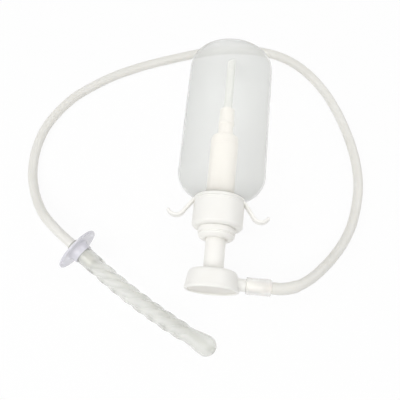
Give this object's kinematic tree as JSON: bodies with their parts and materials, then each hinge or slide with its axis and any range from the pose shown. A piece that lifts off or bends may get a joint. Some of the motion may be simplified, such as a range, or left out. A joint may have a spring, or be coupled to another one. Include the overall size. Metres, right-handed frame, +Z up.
{
  "type": "vaginal douche",
  "caption": "Hand-pump douche: round translucent bottle on its side, screw cap with finger hooks, push head, long hose and a twisted nozzle with a sliding guard disc.",
  "frame": {"origin": "on the surface that the douche lies on, at the middle of its box in plan, the hose and its connector left out", "axes": "+Z up, +Y along the bottle from the push head to the bottle's base, +X to the side that the spout points to"},
  "size_m": [0.249, 0.2444, 0.06],
  "materials": {
    "bottle_plastic": "milky translucent, satin",
    "white_plastic": "smooth moulded, satin gloss",
    "pump_plastic": "smooth moulded",
    "tube_plastic": "translucent tube",
    "gasket_foam": "soft sheet",
    "steel": "polished",
    "clear_sleeve": "clear, glossy",
    "silicone_hose": "translucent silicone, satin",
    "nozzle_plastic": "translucent, glossy",
    "disc_plastic": "clear with a faint violet tint, glossy"
  },
  "bodies": {
    "pump_body": {"pump_housing": "pump_plastic", "neck_gasket": "gasket_foam", "locking_collar": "white_plastic", "valve_cage": "pump_plastic", "dip_tube": "tube_plastic", "return_spring": "steel", "hose": "silicone_hose", "nozzle": "nozzle_plastic"},
    "bottle": {"bottle": "bottle_plastic"},
    "cap": {"screw_cap": "white_plastic", "finger_grip": "white_plastic"},
    "plunger": {"stem": "white_plastic", "piston": "pump_plastic", "piston_rod": "pump_plastic"},
    "head": {"push_head": "white_plastic", "head_disc": "white_plastic", "hose_connector": "clear_sleeve", "connector_barb": "pump_plastic"},
    "outlet_valve": {"outlet_ball": "steel"},
    "inlet_valve": {"inlet_ball": "steel"},
    "guard": {"guard_disc": "disc_plastic"}
  },
  "joints": [
    {"name": "plunger_press", "type": "slide", "parent": "pump_body", "child": "plunger", "axis": [0, 1, 0], "range_m": [0, 0.018], "stiffness_N_per_m": 200, "springref_m": -0.012, "deforming": ["return_spring", "hose"]},
    {"name": "head_turn", "type": "hinge", "parent": "plunger", "child": "head", "pos_m": [0.0339, -0.06, 0.03], "axis": [0, 1, 0], "range_deg": [-20, 20], "deforming": ["hose"]},
    {"name": "outlet_lift", "type": "slide", "parent": "plunger", "child": "outlet_valve", "axis": [0, -1, 0], "range_m": [0, 0.0015]},
    {"name": "inlet_lift", "type": "slide", "parent": "pump_body", "child": "inlet_valve", "axis": [0, -1, 0], "range_m": [0, 0.0015]},
    {"name": "cap_turn", "type": "hinge", "parent": "pump_body", "child": "cap", "pos_m": [0.0339, -0.02, 0.03], "axis": [0, -1, 0], "range_deg": [0, 540]},
    {"name": "bottle_off", "type": "slide", "parent": "pump_body", "child": "bottle", "axis": [0, 1, 0], "range_m": [0, 0.0063]},
    {"name": "guard_slide", "type": "slide", "parent": "pump_body", "child": "guard", "axis": [0.8182, -0.5687, -0.0847], "range_m": [0, 0.012]}
  ],
  "couplings": [
    {"joint": "bottle_off", "follows": "cap_turn", "m_per_rad": 0.00066845}
  ]
}
